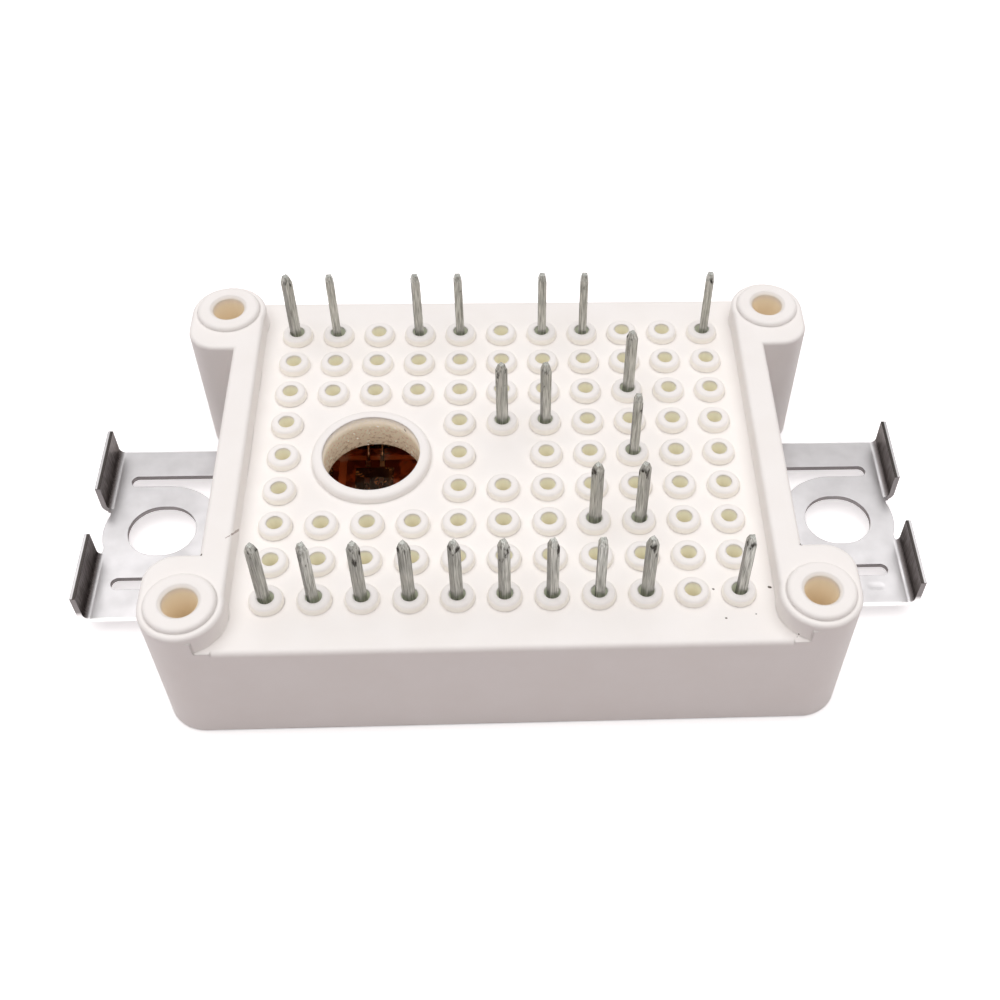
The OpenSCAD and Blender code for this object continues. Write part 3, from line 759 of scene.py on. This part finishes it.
class FinishHousing(bpy.types.Operator):
    """Gives the housing its moulded plastic"""

    bl_idname = "module.finish_housing"
    bl_label = "Finish housing"

    def execute(self, context):
        dress("housing", moulded_plastic(context.scene.module_housing))
        return {"FINISHED"}


class FinishClamps(bpy.types.Operator):
    """Gives both clamps their spring steel"""

    bl_idname = "module.finish_clamps"
    bl_label = "Finish clamps"

    def execute(self, context):
        steel = spring_steel(context.scene.module_metal)
        for name in ("clamp_left", "clamp_right"):
            dress(name, steel)
        return {"FINISHED"}


class FinishPins(bpy.types.Operator):
    """Tins the solder pins and the sleeves that hold them"""

    bl_idname = "module.finish_pins"
    bl_label = "Finish pins"

    def execute(self, context):
        look = context.scene.module_metal
        tin = tinned_wire(look)
        for name in PINS:
            dress(name, tin)
        dress("pin_sleeves", tinned_sleeve(look))
        return {"FINISHED"}


class FinishSubstrate(bpy.types.Operator):
    """Finishes the ceramic plate and its copper"""

    bl_idname = "module.finish_substrate"
    bl_label = "Finish substrate"

    def execute(self, context):
        look = context.scene.module_inside
        dress("ceramic_plate", fired_ceramic(look))
        for name, tarnished in {"lower_copper": 0.38, "upper_copper": 0.6}.items():
            dress(name, bonded_copper(look, name + "_face", tarnished))
        return {"FINISHED"}


class FinishChips(bpy.types.Operator):
    """Finishes the chips, the temperature sensor and the bond wires"""

    bl_idname = "module.finish_chips"
    bl_label = "Finish chips and wires"

    def execute(self, context):
        look = context.scene.module_inside
        gaps = {"transistor_chips": 0.42, "freewheel_chips": 0.8, "rectifier_chips": 1.5}
        for name, gap in gaps.items():
            dress(name, chip_face(look, name + "_face", gap * MM))
        low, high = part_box("thermistor")
        dress("thermistor", sensor_body(look, (low.x + high.x) / 2, 0.28 * (high.x - low.x)))
        dress("bond_wires", bond_aluminium(look))
        return {"FINISHED"}


class PourGel(bpy.types.Operator):
    """Fills the housing with clear gel round the chips, wires and pins"""

    bl_idname = "module.pour_gel"
    bl_label = "Pour gel"

    def execute(self, context):
        look = context.scene.module_inside
        gel = new_piece("gel_fill", gel_mesh(look), silicone_gel(look))
        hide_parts("gel")
        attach(gel, "root")
        return {"FINISHED"}


class SetStage(bpy.types.Operator):
    """Lays the floor and sets the soft light and the camera"""

    bl_idname = "module.set_stage"
    bl_label = "Set stage"

    def execute(self, context):
        look = context.scene.module_stage
        self.lay_floor(look)
        self.set_light(context, look)
        self.set_camera(context, look)
        context.scene.view_settings.view_transform = "Standard"
        return {"FINISHED"}

    def lay_floor(self, look):
        bm = bmesh.new()
        corners = [bm.verts.new((sx * FLOOR_REACH, sy * FLOOR_REACH, 0.0))
                   for sx, sy in ((-1, -1), (1, -1), (1, 1), (-1, 1))]
        bm.faces.new(corners)
        mesh = bpy.data.meshes.new("floor")
        bm.to_mesh(mesh)
        bm.free()
        new_piece("floor", mesh, studio_floor(look))

    def set_light(self, context, look):
        world = bpy.data.worlds.new("studio")
        world.use_nodes = True
        nodes, links = world.node_tree.nodes, world.node_tree.links
        nodes.clear()
        path = nodes.new("ShaderNodeLightPath").outputs

        def chosen(when, when_not, when_so):
            """One sky or another, by the kind of ray."""
            mixed = nodes.new("ShaderNodeMixShader")
            for socket, source in zip(mixed.inputs, (when, when_not, when_so)):
                links.new(source, socket)
            return mixed.outputs[0]

        def sky(tint, strength):
            background = nodes.new("ShaderNodeBackground")
            background.inputs["Color"].default_value = tint
            background.inputs["Strength"].default_value = strength
            return background.outputs[0]

        white = (1, 1, 1, 1)
        backdrop = sky(white, 1.0)
        lit = chosen(path["Is Glossy Ray"], sky(rgba(look.air), look.sky),
                     sky(white, look.mirror_sky))
        lit = chosen(path["Is Transmission Ray"], lit, backdrop)
        lit = chosen(path["Is Camera Ray"], lit, backdrop)
        links.new(lit, nodes.new("ShaderNodeOutputWorld").inputs["Surface"])
        context.scene.world = world
        lamp = bpy.data.lights.new("top_light", "SUN")
        lamp.energy = look.sun
        lamp.angle = look.sun_width
        top = bpy.data.objects.new("top_light", lamp)
        top.rotation_euler = Euler([math.radians(angle) for angle in LAMP_TURN])
        context.scene.collection.objects.link(top)

    def set_camera(self, context, look):
        camera = bpy.data.cameras.new("camera")
        camera.lens = look.lens
        camera.sensor_width = FILM_WIDTH
        camera.shift_x, camera.shift_y = FILM_SHIFT
        camera.clip_start = 1 * MM
        seat = bpy.data.objects.new("camera", camera)
        seat.location = Vector(CAMERA_PLACE) * MM
        seat.rotation_euler = Euler([math.radians(angle) for angle in CAMERA_TURN])
        context.scene.collection.objects.link(seat)
        context.scene.camera = seat


OPERATORS = [
    FinishHousing, FinishClamps, FinishPins, FinishSubstrate, FinishChips, PourGel, SetStage,
]


class MODULE_PT_looks(bpy.types.Panel):
    """Lists the module's looks and the steps that make them"""

    bl_label = "Power module"
    bl_idname = "MODULE_PT_looks"
    bl_space_type = "VIEW_3D"
    bl_region_type = "UI"
    bl_category = "Module"

    def draw(self, context):
        for operator in OPERATORS:
            self.layout.operator(operator.bl_idname)
        for name, group in LOOKS.items():
            box = self.layout.box()
            for prop in group.__annotations__:
                box.prop(getattr(context.scene, name), prop)


def register():
    for group in LOOKS.values():
        bpy.utils.register_class(group)
    for name, group in LOOKS.items():
        setattr(bpy.types.Scene, name, PointerProperty(type=group))
    for operator in OPERATORS:
        bpy.utils.register_class(operator)
    bpy.utils.register_class(MODULE_PT_looks)


def unregister():
    bpy.utils.unregister_class(MODULE_PT_looks)
    for operator in reversed(OPERATORS):
        bpy.utils.unregister_class(operator)
    for name, group in LOOKS.items():
        delattr(bpy.types.Scene, name)
        bpy.utils.unregister_class(group)


def main():
    register()
    for operator in OPERATORS:
        category, name = operator.bl_idname.split(".")
        getattr(getattr(bpy.ops, category), name)()


if __name__ == "__main__":
    main()
